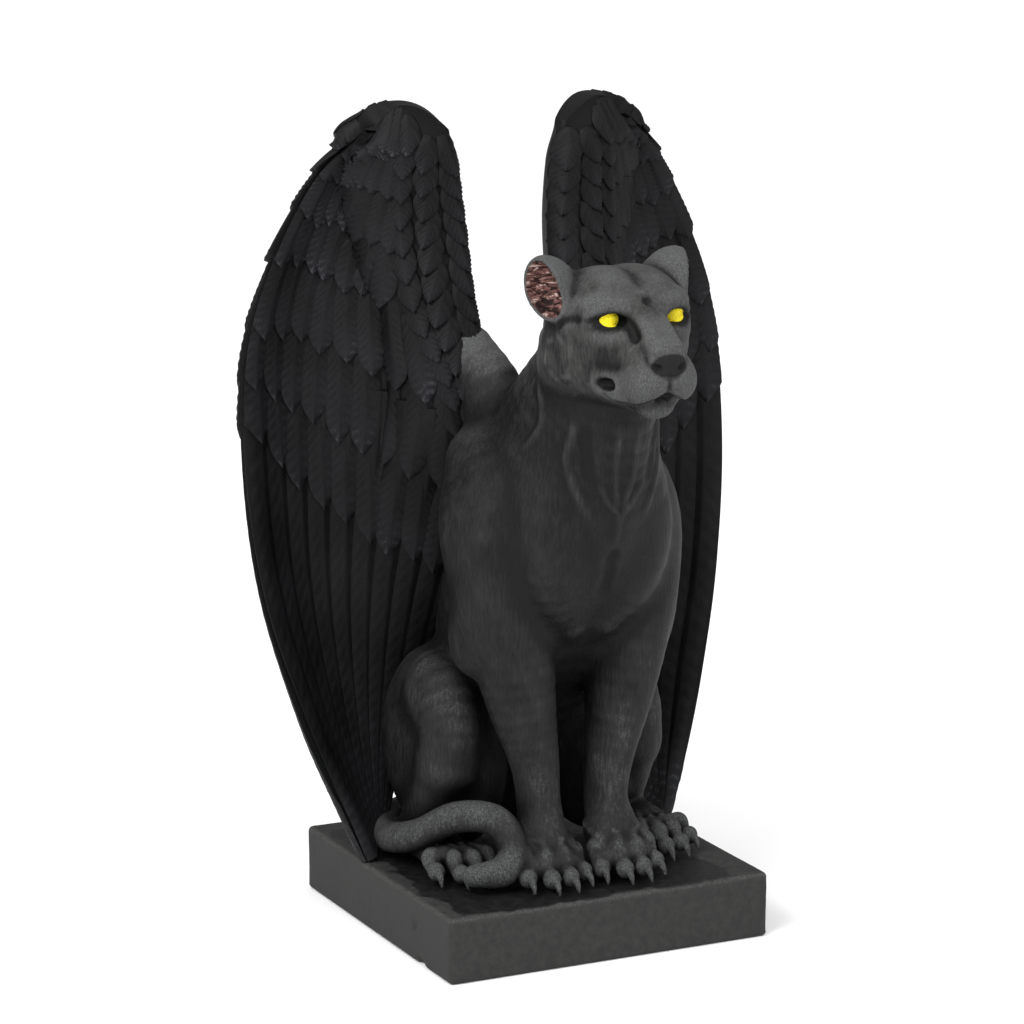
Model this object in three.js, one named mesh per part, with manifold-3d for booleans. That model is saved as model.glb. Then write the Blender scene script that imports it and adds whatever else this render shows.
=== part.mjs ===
// A winged panther gargoyle on a square plinth, cast in resin.
// Millimetres, +Z up, front towards -Y. The origin is the middle of the plinth's underside.
// The figure is one casting: body, head, legs, tail and both wings. The plinth is the second piece.
import * as THREE from 'three';
import { mergeVertices } from 'three/addons/utils/BufferGeometryUtils.js';
import Module from 'manifold-3d';

const wasm = await Module();
wasm.setup();

// Driving dimensions
const PLINTH_SIDE = 89;
const PLINTH_HEIGHT = 17;
const PLINTH_ARRIS = 1.4;
const BED_GAP = 0.3;
const FIGURE_BASE = PLINTH_HEIGHT + BED_GAP;
const FORELEG_X = 9.4;
const HIND_FOOT_X = 28.6;
const TOE_COUNT = 4;
const FORE_TOE_RADIUS = 2.4;
const HIND_TOE_RADIUS = 2.3;
const CLAW_LENGTH = 4;
const TAIL_RADIUS = 4;
const PRIMARY_COUNT = 8;
const FEATHER_RELIEF = 1.7;
const WING_THICKNESS = 3;
const WING_CAMBER = 8;
const WING_ROLL = 5.5;
const WING_CROWN = 7;

const { clamp, degToRad, lerp, smoothstep } = THREE.MathUtils;
const v3 = (p) => new THREE.Vector3(...p);

// A closed three.js geometry as a solid that can be joined and cut
function solidOf(geometry) {
  const bare = geometry.clone();
  bare.deleteAttribute('normal');
  bare.deleteAttribute('uv');
  const merged = mergeVertices(bare, 1e-4);
  return new wasm.Manifold(new wasm.Mesh({
    numProp: 3,
    vertProperties: new Float32Array(merged.attributes.position.array),
    triVerts: new Uint32Array(merged.index.array),
  }));
}

function geometryOf(solid) {
  const mesh = solid.getMesh();
  const geometry = new THREE.BufferGeometry();
  geometry.setAttribute('position', new THREE.BufferAttribute(mesh.vertProperties, 3));
  geometry.setIndex(new THREE.BufferAttribute(mesh.triVerts, 1));
  geometry.computeVertexNormals();
  return geometry;
}

const joined = (solids) => solids.reduce((whole, next) => whole.add(next));
const bothSides = (solid) => [solid, solid.mirror([1, 0, 0])];

// A rounded limb through stations [x, y, z, halfWidth, halfDepth].
// The width lies along `across`, and the depth is square to it and to the limb's line.
function limb(stations, { sides = 10, rings = 6, cap = 2, across = [1, 0, 0] } = {}) {
  const line = new THREE.CatmullRomCurve3(stations.map((s) => v3(s.slice(0, 3))));
  const sizes = new THREE.CatmullRomCurve3(stations.map((s) => v3([s[3], s[4], 0])));
  const geometry = new THREE.CapsuleGeometry(1, 1, cap, sides, rings);
  const position = geometry.attributes.position;
  const reference = v3(across);
  for (let i = 0; i < position.count; i += 1) {
    const along = position.getY(i) + 0.5;
    const t = clamp(along, 0, 1);
    const size = sizes.getPoint(t);
    const tangent = line.getTangent(t);
    const wide = reference.clone().addScaledVector(tangent, -reference.dot(tangent)).normalize();
    const deep = new THREE.Vector3().crossVectors(wide, tangent);
    const point = line.getPoint(t)
      .addScaledVector(tangent, (along - t) * Math.min(size.x, size.y))
      .addScaledVector(wide, position.getX(i) * size.x)
      .addScaledVector(deep, position.getZ(i) * size.y);
    position.setXYZ(i, point.x, point.y, point.z);
  }
  return solidOf(geometry);
}

// An egg of muscle or bone: its centre, half sizes, and turns about X, Y and Z in degrees
function lump(centre, half, turn = [0, 0, 0], sides = 10) {
  const geometry = new THREE.SphereGeometry(1, sides, Math.round(sides * 0.6));
  geometry.applyMatrix4(new THREE.Matrix4().compose(
    v3(centre),
    new THREE.Quaternion().setFromEuler(new THREE.Euler(...turn.map(degToRad))),
    v3(half),
  ));
  return solidOf(geometry);
}

// Rump, loin, ribs, breast, and the neck rising forward to the skull
function trunk() {
  const breast = limb([
    [6, -31, 124, 6, 7], [10.5, -32, 111, 10, 10.5], [10, -29.5, 97, 9.5, 10.5], [5, -26, 86, 6, 8],
  ], { sides: 10, rings: 3 });
  return joined([
    limb([
      [0, 19, 34, 22, 15], [0, 15, 52, 21, 18], [0, 5, 74, 23, 22], [0, -8, 95, 25, 26],
      [0, -17, 112, 25, 28], [0, -25, 128, 18.5, 25], [0, -34, 143, 14, 20], [0, -42, 156, 13, 14],
    ], { sides: 18, rings: 11, cap: 2 }),
    ...bothSides(breast),
  ]);
}

// Skull, brows, nose, cheeks, whisker pads and lower jaw
function head() {
  const side = joined([
    lump([9.5, -50, 154.5], [7.3, 12, 9], [0, 0, -12], 9),
    lump([8, -56.6, 167], [6.5, 4.5, 3.4], [15, 14, -20], 8),
    lump([4.6, -68.2, 151], [5, 5.4, 4.8], [0, 0, 10], 8),
  ]);
  return joined([
    lump([0, -45, 161.5], [16, 17, 12.8], [-8, 0, 0], 12),
    limb([[0, -54, 158, 10.5, 9], [0, -61, 155.5, 8.5, 8], [0, -67.5, 153.5, 7, 6.5]], { rings: 2 }),
    limb([[0, -56, 165, 5, 4], [0, -64, 162, 4.2, 3.4], [0, -71, 158, 3.8, 3]], { sides: 8, rings: 2 }),
    limb([[0, -48, 147.5, 11, 5], [0, -58, 146, 8, 4.2], [0, -66, 145, 5, 3.4]], { sides: 8, rings: 2 }),
    ...bothSides(side),
  ]);
}

// A rounded ear, with its cupped side turned forward and outward
function ear() {
  const shell = limb([
    [13.5, -43, 167, 7, 3.2], [17, -41.5, 173, 6.6, 2.6], [19.5, -40, 177.5, 3.8, 1.9],
  ], { sides: 10, rings: 3, across: [0.83, 0.56, 0] });
  return shell.subtract(lump([18.4, -44.4, 172.3], [4.8, 2.6, 6], [0, 18, 34], 8));
}

// One toe with its knuckle, and the claw that comes out under it
function toe(root, knuckle, tip, radius) {
  const claw = limb([
    [tip[0], tip[1] + radius * 0.3, tip[2] + 0.4, 1.1, 1.3],
    [tip[0], tip[1] - CLAW_LENGTH * 0.7, tip[2] - 0.4, 0.8, 1],
    [tip[0], tip[1] - CLAW_LENGTH, FIGURE_BASE + 0.6, 0.35, 0.4],
  ], { sides: 4, rings: 2, cap: 1 });
  const bones = limb([
    [...root, radius, radius], [...knuckle, radius * 1.1, radius * 1.15], [...tip, radius, radius],
  ], { sides: 6, rings: 2, cap: 1 });
  return bones.add(claw);
}

// The toes of one foot, side by side in an arc, with the outer toes further back by the turnout.
// The arch is the height of the knuckles.
function toes(footX, rootY, tipY, radius, turnout, arch) {
  return joined(Array.from({ length: TOE_COUNT }, (_, i) => {
    const place = i - (TOE_COUNT - 1) / 2;
    const x = footX + place * radius * 1.95;
    const back = 1.5 * place * place + turnout * place;
    return toe(
      [footX + place * radius * 1.3, rootY, FIGURE_BASE + arch + 2],
      [x, tipY + back + 4.5, FIGURE_BASE + arch],
      [x + place * 0.4, tipY + back, FIGURE_BASE + 3.2],
      radius,
    );
  }));
}

// A straight foreleg: shoulder blade, upper arm, forearm, wrist and paw
function foreleg() {
  return joined([
    limb([
      [17, -6, 122, 9, 12], [20, -14, 108, 11, 16], [19, -18, 92, 11.2, 14],
      [16, -20, 76, 10.2, 12], [13.5, -21, 61, 8.2, 9.6], [10.6, -22, 47, 6, 7.2],
      [FORELEG_X, -22, 36, 5.4, 6.4], [FORELEG_X + 0.4, -25, 28, 6.6, 6],
    ], { sides: 12, rings: 9 }),
    lump([23, -15, 82], [6, 10, 13], [18, -8, 0], 8),
    limb([
      [FORELEG_X + 0.3, -24, 26, 7, 6], [FORELEG_X + 0.8, -31, 22.5, 8.4, 5],
    ], { sides: 8, rings: 1, cap: 1 }),
    toes(FORELEG_X + 0.8, -29, -38, FORE_TOE_RADIUS, 0, 7),
  ]);
}

// A folded hind leg: haunch, knee, shin and the long foot flat on the plinth
function hindLeg() {
  return joined([
    lump([20, 11, 44], [14, 20, 26], [-14, 0, -8], 12),
    limb([
      [21, 14, 57, 9, 12], [24, 4, 60, 9.5, 11], [25.5, -4, 53, 8, 9], [26, -4, 44, 7.5, 8],
    ], { rings: 4, cap: 1 }),
    limb([[26, -4, 45, 7.5, 8], [27, 2, 33, 6.5, 7], [28, 8, 24, 6, 6.5]], { sides: 8, rings: 2, cap: 1 }),
    limb([
      [28, 12, 22, 6, 5.4], [HIND_FOOT_X, -2, 22, 6.4, 5], [HIND_FOOT_X, -14, 21, 7.2, 4],
    ], { sides: 8, rings: 2, cap: 1 }),
    toes(HIND_FOOT_X, -14, -24.5, HIND_TOE_RADIUS, 1.4, 5.2),
  ]);
}

// The tail leaves the rump, passes under the right wing, climbs over the right hind foot and hooks back
function tail() {
  const root = TAIL_RADIUS * 1.7;
  const middle = TAIL_RADIUS * 1.15;
  const tip = TAIL_RADIUS * 0.75;
  return limb([
    [-4, 31, 26, root, root], [-18, 31, 22.5, middle, middle], [-31, 23, 22, middle, middle],
    [-36.5, 9, 22.5, TAIL_RADIUS, TAIL_RADIUS], [-35, -6, 27, TAIL_RADIUS, TAIL_RADIUS],
    [-29, -15, 33, TAIL_RADIUS, TAIL_RADIUS], [-21.5, -21.5, 33, TAIL_RADIUS, TAIL_RADIUS],
    [-18.5, -26.5, 27, TAIL_RADIUS, TAIL_RADIUS], [-23, -30, 22.5, TAIL_RADIUS, TAIL_RADIUS],
    [-31, -29.5, 22, tip, tip],
  ], { sides: 8, rings: 21, across: [0, 0, 1] });
}

// The wing on the figure's left hangs on rungs, from its tip on the plinth to its top.
// A rung runs from the inner rim to the outer rim, each end as [x, y, z].
const RUNGS = [
  [[38, 14, 19], [42.5, 7.5, 16]],
  [[28, 27, 33], [49, 10.5, 32]],
  [[17, 32, 56], [57, 15, 53]],
  [[10, 25, 82], [65, 21.3, 84]],
  [[6, 16, 108], [68, 25.3, 115]],
  [[5, 8, 131], [66.6, 28, 145]],
  [[10.5, 11.5, 153], [60, 27.5, 168]],
  [[12, 17, 178], [48.5, 25, 190]],
  [[15, 17.5, 201], [37.5, 20, 202]],
];
const innerRim = new THREE.CatmullRomCurve3(RUNGS.map((rung) => v3(rung[0])));
const outerRim = new THREE.CatmullRomCurve3(RUNGS.map((rung) => v3(rung[1])));

// A point of the wing's middle sheet: t runs from the inner rim to the outer, u from the tip to the top.
// The hollow is deepest, at 1, two thirds of the way out, and the arch is highest, at 1, halfway.
function wingPoint(t, u) {
  const hollow = 27 / 4 * t * t * (1 - t);
  const arch = 4 * t * (1 - t);
  return innerRim.getPoint(u).lerp(outerRim.getPoint(u), t).add(v3([
    0,
    WING_CAMBER * hollow * smoothstep(u, 0, 0.3) * (1 - 0.7 * smoothstep(u, 0.7, 1)),
    WING_CROWN * arch * smoothstep(u, 0.8, 1),
  ]));
}

function wingNormal(t, u) {
  const step = 0.02;
  const over = wingPoint(Math.min(t + step, 1), u).sub(wingPoint(Math.max(t - step, 0), u));
  const rise = wingPoint(t, Math.min(u + step, 1)).sub(wingPoint(t, Math.max(u - step, 0)));
  return over.cross(rise).normalize();
}

// The lines across the wing. Long primaries fill the lower part, and rows of coverts the upper one.
// Each row of coverts has two lines close together: the low foot below its tips, and the high lip.
const PRIMARY_LINES = [0, 0.07, 0.16, 0.25, 0.34];
const COVERT_TIPS = [0.42, 0.53, 0.64, 0.75, 0.86];
const LIP_RISE = 0.012;
const TIP_POINT = 0.022;
const BACK_RELIEF = 0.6;
const WING_LINES = [
  ...PRIMARY_LINES.map((u) => ({ u, low: 1, row: 0, tipped: false })),
  ...COVERT_TIPS.flatMap((u, i) => [
    { u, low: 0.25, row: i, tipped: true },
    { u: u + LIP_RISE, low: 1.5, row: i + 1, tipped: true },
  ]),
  { u: 0.96, low: 0.5, row: 1, tipped: false },
  { u: 1, low: -0.3, row: 1, tipped: false },
];

// The thick roll of small feathers along the inner rim, fading out below the shoulder
function rollHeight(t, u) {
  const halfWidth = lerp(0.2, 0.5, smoothstep(u, 0.7, 1));
  const place = t / halfWidth - 1;
  const ends = smoothstep(u, 0.45, 0.6) * (1 - 0.7 * smoothstep(u, 0.94, 1));
  return WING_ROLL * Math.sqrt(Math.max(0, 1 - place * place)) * ends;
}

// One wing: a thick sheet with its feathers raised on both faces, lower on the back
function wing() {
  const columns = PRIMARY_COUNT * 2;
  const geometry = new THREE.BoxGeometry(1, 1, 1, columns, WING_LINES.length - 1, 1);
  const position = geometry.attributes.position;
  for (let i = 0; i < position.count; i += 1) {
    const column = Math.round((position.getX(i) + 0.5) * columns);
    const line = WING_LINES[Math.round((position.getY(i) + 0.5) * (WING_LINES.length - 1))];
    const front = position.getZ(i) > 0;
    const t = column / columns;
    const ridge = (column + line.row) % 2;
    const underTip = (column + line.row + 1) % 2;
    const tip = line.low > 1 ? ridge : underTip;
    const u = line.tipped ? line.u - TIP_POINT * tip : line.u;
    const raised = FEATHER_RELIEF * (line.low + 0.75 * ridge) * (front ? 1 : BACK_RELIEF);
    const edge = Math.min(1, 0.5 + 3 * Math.min(t, 1 - t));
    const half = (WING_THICKNESS / 2 + raised) * edge + rollHeight(t, u);
    const point = wingPoint(t, u).addScaledVector(wingNormal(t, u), front ? half : -half);
    position.setXYZ(i, point.x, point.y, point.z);
  }
  const root = limb([[12, -6, 119, 9, 10], [10, 2, 135, 8, 9], [13, 10, 147, 7, 7]], { rings: 2 });
  return solidOf(geometry).add(root);
}

// The whole figure, cut flat where it stands on the plinth
function figure() {
  const side = joined([foreleg(), hindLeg(), ear(), wing()]);
  const under = new THREE.BoxGeometry(2 * PLINTH_SIDE, 2 * PLINTH_SIDE, 2 * PLINTH_HEIGHT);
  under.translate(0, 0, FIGURE_BASE - PLINTH_HEIGHT);
  return joined([trunk(), head(), ...bothSides(side), tail()]).subtract(solidOf(under));
}

// The plinth: a square slab with its arrises eased
function plinth() {
  const half = PLINTH_SIDE / 2 - PLINTH_ARRIS;
  const outline = new THREE.Shape([[half, -half], [half, half], [-half, half], [-half, -half]]
    .map((corner) => new THREE.Vector2(...corner)));
  const geometry = new THREE.ExtrudeGeometry(outline, {
    depth: PLINTH_HEIGHT - 2 * PLINTH_ARRIS,
    bevelThickness: PLINTH_ARRIS,
    bevelSize: PLINTH_ARRIS,
    bevelSegments: 3,
  });
  geometry.translate(0, 0, PLINTH_ARRIS);
  return solidOf(geometry);
}

const figurePaint = new THREE.MeshStandardMaterial({ color: 0x2b2b2d, roughness: 0.6, metalness: 0 });
const plinthPaint = new THREE.MeshStandardMaterial({ color: 0x262626, roughness: 0.75, metalness: 0 });

function piece(name, solid, material) {
  const mesh = new THREE.Mesh(geometryOf(solid), material);
  mesh.name = name;
  return mesh;
}

const gargoyle = new THREE.Group();
gargoyle.add(piece('winged_panther', figure(), figurePaint));
gargoyle.add(piece('plinth', plinth(), plinthPaint));

export default gargoyle;
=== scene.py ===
import math

import bmesh
import bpy
import numpy as np
import openvdb
from mathutils import Euler, Matrix, Vector, noise


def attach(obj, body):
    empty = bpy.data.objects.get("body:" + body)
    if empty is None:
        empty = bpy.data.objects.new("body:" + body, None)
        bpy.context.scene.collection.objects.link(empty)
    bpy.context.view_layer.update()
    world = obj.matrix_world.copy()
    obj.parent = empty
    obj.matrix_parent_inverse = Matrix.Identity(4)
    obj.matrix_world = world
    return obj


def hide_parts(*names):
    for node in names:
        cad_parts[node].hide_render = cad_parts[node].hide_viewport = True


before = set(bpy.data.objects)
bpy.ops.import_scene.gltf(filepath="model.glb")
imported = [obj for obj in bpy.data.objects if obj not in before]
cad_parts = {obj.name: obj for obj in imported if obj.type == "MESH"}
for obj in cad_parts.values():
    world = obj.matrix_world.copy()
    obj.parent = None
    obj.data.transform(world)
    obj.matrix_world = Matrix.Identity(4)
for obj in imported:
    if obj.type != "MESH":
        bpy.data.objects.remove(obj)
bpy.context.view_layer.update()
MM = 0.001


# Plinth
#
# A square cast slab with softly rounded arrises, painted matte dark grey. A painted shadow, a little
# glossy, lies on its top under the figure. Handling has nicked a side, the lower edge and the front arris.
PLINTH_SIDE = 89
PLINTH_HEIGHT = 17
PLINTH_ARRIS = 1.4
NICKS = [
    # place, radius and depth in mm
    [(-44.5, -23.5, 9.5), 1.5, 0.7],
    [(-44.5, -27.0, 0.0), 2.2, 1.3],
    [(29.0, -44.5, 16.2), 1.1, 0.8],
    [(-13.0, -44.5, 4.0), 0.9, 0.35],
    [(44.5, 12.0, 0.6), 1.6, 0.9],
    [(18.0, 44.5, 17.0), 1.7, 0.8],
]


def new_piece(name, mesh):
    """A named object that holds the mesh, in the scene"""
    piece = bpy.data.objects.new(name, mesh)
    bpy.context.scene.collection.objects.link(piece)
    return piece


def plinth_mesh():
    """A slab with rounded arrises, its faces cut finely enough to be dented"""
    slab = bmesh.new()
    bmesh.ops.create_cube(slab, size=1)
    bmesh.ops.scale(slab, vec=(PLINTH_SIDE, PLINTH_SIDE, PLINTH_HEIGHT), verts=slab.verts)
    bmesh.ops.translate(slab, vec=(0, 0, PLINTH_HEIGHT / 2), verts=slab.verts)
    bmesh.ops.bevel(
        slab, geom=slab.edges[:], offset=PLINTH_ARRIS, segments=4, profile=0.5, affect="EDGES", material=-1
    )
    for axis in range(3):
        direction = Vector([1 if i == axis else 0 for i in range(3)])
        reach = (PLINTH_SIDE if axis < 2 else PLINTH_HEIGHT) / 2 - PLINTH_ARRIS
        middle = PLINTH_HEIGHT / 2 if axis == 2 else 0
        cuts = round(2 * reach / 1.1)
        for i in range(1, cuts):
            place = middle - reach + 2 * reach * i / cuts
            bmesh.ops.bisect_plane(
                slab, geom=slab.verts[:] + slab.edges[:] + slab.faces[:],
                plane_co=direction * place, plane_no=direction, dist=1e-5,
            )
    slab.normal_update()
    shifts = {}
    for vert in slab.verts:
        waves = 0.10 * noise.noise(vert.co * 0.11) + 0.05 * noise.noise(vert.co * 0.45)
        shift = vert.normal * (waves - 0.15) if vert.co.z > 1 else Vector((0, 0, 0))
        for place, radius, depth in NICKS:
            away = (vert.co - Vector(place)).length / radius
            rough = away * (1 + 0.35 * noise.noise(vert.co * 1.3))
            if rough < 1:
                inward = Vector((-place[0], -place[1], 8.5 - place[2])).normalized()
                shift = shift + inward * depth * (1 - rough * rough)
        shifts[vert] = shift
    for vert, shift in shifts.items():
        vert.co += shift
    bmesh.ops.scale(slab, vec=(MM, MM, MM), verts=slab.verts)
    mesh = bpy.data.meshes.new("plinth_slab")
    slab.to_mesh(mesh)
    slab.free()
    mesh.shade_smooth()
    return mesh


class Paint:
    """A node material under one name, with short ways to add and join its nodes"""

    def __init__(self, name):
        self.material = bpy.data.materials.new(name)
        self.material.use_nodes = True
        self.tree = self.material.node_tree
        self.shader = self.tree.nodes["Principled BSDF"]
        self.place = self.add("ShaderNodeTexCoord").outputs["Object"]

    def add(self, kind, **settings):
        node = self.tree.nodes.new(kind)
        for key, value in settings.items():
            setattr(node, key, value)
        return node

    def link(self, value, socket):
        if isinstance(value, bpy.types.NodeSocket):
            self.tree.links.new(value, socket)
        else:
            socket.default_value = value

    def stretched(self, scale):
        """The place on the object in mm, scaled along each axis"""
        node = self.add("ShaderNodeVectorMath", operation="MULTIPLY")
        self.link(self.place, node.inputs[0])
        node.inputs[1].default_value = [1000 * s for s in scale]
        return node.outputs["Vector"]

    def noise(self, scale, detail=4, roughness=0.55, distortion=0, vector=None):
        """Noise from 0 to 1. scale holds the waves for each mm along each axis."""
        node = self.add("ShaderNodeTexNoise")
        self.link(self.stretched(scale) if vector is None else vector, node.inputs["Vector"])
        node.inputs["Scale"].default_value = 1
        node.inputs["Detail"].default_value = detail
        node.inputs["Roughness"].default_value = roughness
        node.inputs["Distortion"].default_value = distortion
        return node.outputs["Fac"]

    def attribute(self, name):
        return self.add("ShaderNodeAttribute", attribute_name=name).outputs["Fac"]

    def maths(self, operation, a, b=0.0, clamp=False):
        node = self.add("ShaderNodeMath", operation=operation, use_clamp=clamp)
        self.link(a, node.inputs[0])
        self.link(b, node.inputs[1])
        return node.outputs["Value"]

    def ramp(self, value, low, high, to_low=0.0, to_high=1.0):
        """The value between low and high, eased and brought to the range from to_low to to_high"""
        node = self.add("ShaderNodeMapRange", interpolation_type="SMOOTHSTEP")
        self.link(value, node.inputs["Value"])
        for name, number in zip(("From Min", "From Max", "To Min", "To Max"), (low, high, to_low, to_high)):
            node.inputs[name].default_value = number
        return node.outputs["Result"]

    def blend(self, mask, under, over):
        """The colour under, covered by the colour over where the mask is 1"""
        node = self.add("ShaderNodeMix", data_type="RGBA")
        self.link(mask, node.inputs["Factor"])
        for index, colour in ((6, under), (7, over)):
            self.link(colour if isinstance(colour, bpy.types.NodeSocket) else (*colour, 1), node.inputs[index])
        return node.outputs[2]

    def bump(self, height, depth_mm, strength=1.0):
        """Small relief from a height between 0 and 1, on top of what is already there"""
        node = self.add("ShaderNodeBump")
        node.inputs["Strength"].default_value = strength
        node.inputs["Distance"].default_value = depth_mm * MM
        self.link(height, node.inputs["Height"])
        old = self.shader.inputs["Normal"].links
        if old:
            self.link(old[0].from_socket, node.inputs["Normal"])
        self.link(node.outputs["Normal"], self.shader.inputs["Normal"])

    def finish(self, colour, roughness):
        self.link(colour, self.shader.inputs["Base Color"])
        self.link(roughness, self.shader.inputs["Roughness"])
        self.shader.inputs["IOR"].default_value = 1.46
        return self.material


def plinth_paint():
    """Matte dark grey, with a painted highlight along the top arrises and a painted shadow round the figure's feet"""
    paint = Paint("plinth_paint")
    split = paint.add("ShaderNodeSeparateXYZ")
    paint.link(paint.stretched((1, 1, 1)), split.inputs[0])
    x, y, z = split.outputs
    # A painted shadow on the top round the figure's feet, where the figure shades it. The same patch is a little
    # glossier.
    wander = paint.maths("MULTIPLY", paint.maths("SUBTRACT", paint.noise((0.07, 0.07, 0.07), 3), 0.5), 16)
    side = paint.maths("ADD", paint.maths("ABSOLUTE", paint.maths("ADD", x, 3.0)), wander)
    front = paint.maths("ADD", paint.maths("ABSOLUTE", paint.maths("ADD", y, 3.0)), wander)
    inside = paint.maths("MAXIMUM", side, paint.maths("SUBTRACT", front, 2.5))
    painted_shadow_patch = paint.maths("MULTIPLY", paint.ramp(inside, 38.4, 37.0), paint.ramp(z, 16.2, 16.7))
    mottle = paint.noise((0.5, 0.5, 0.5), 6, 0.65)
    fine = paint.noise((2.2, 2.2, 2.2), 4, 0.7)
    grey = paint.blend(paint.ramp(mottle, 0.3, 0.72), (0.021, 0.021, 0.021), (0.034, 0.034, 0.033))
    grey = paint.blend(paint.ramp(fine, 0.62, 0.8, 0, 0.35), grey, (0.055, 0.055, 0.054))
    # A painted highlight in patches along the top arrises
    arris = paint.maths("MAXIMUM", paint.maths("ABSOLUTE", x), paint.maths("ABSOLUTE", y))
    rim = paint.maths("MULTIPLY", paint.ramp(arris, 43.0, 44.2), paint.ramp(z, 15.2, 16.4))
    top_rim_highlight = paint.maths("MULTIPLY", rim, paint.ramp(fine, 0.45, 0.65, 0.1, 0.75))
    grey = paint.blend(top_rim_highlight, grey, (0.085, 0.084, 0.081))
    painted_shadow_colour = paint.blend(paint.ramp(mottle, 0.35, 0.7), (0.0065, 0.0065, 0.007), (0.012, 0.012, 0.0125))
    colour = paint.blend(painted_shadow_patch, grey, painted_shadow_colour)
    roughness = paint.maths("SUBTRACT", paint.ramp(mottle, 0.3, 0.7, 0.62, 0.78), paint.maths("MULTIPLY", painted_shadow_patch, 0.26))
    paint.bump(mottle, 0.10)
    paint.bump(fine, 0.05)
    paint.shader.inputs["Specular IOR Level"].default_value = 0.22
    return paint.finish(colour, roughness)


plinth = new_piece("plinth_slab", plinth_mesh())
plinth.data.materials.append(plinth_paint())
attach(plinth, "root")
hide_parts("plinth")


# Panther
#
# The body, head, legs and tail of the cast figure. It was modelled in clay before it was moulded, so it is
# modelled the same way here: forms are pressed on, hollows are pressed in, and lines are drawn in relief.
# The clay is a grid of distances in mm, and its surface becomes the mesh.
GROUND = 17.0


def smoothed(stations, steps):
    """A smooth run through the stations, with this many steps between each two"""
    stations = np.array(stations, float)
    ends = np.vstack([2 * stations[0] - stations[1], stations, 2 * stations[-1] - stations[-2]])
    rows = []
    for i in range(len(stations) - 1):
        p0, p1, p2, p3 = ends[i:i + 4]
        for t in np.linspace(0, 1, steps, endpoint=False):
            rows.append(
                p1 + 0.5 * t * (p2 - p0 + t * (2 * p0 - 5 * p1 + 4 * p2 - p3 + t * (3 * (p1 - p2) + p3 - p0)))
            )
    rows.append(stations[-1])
    return np.array(rows)


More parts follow.
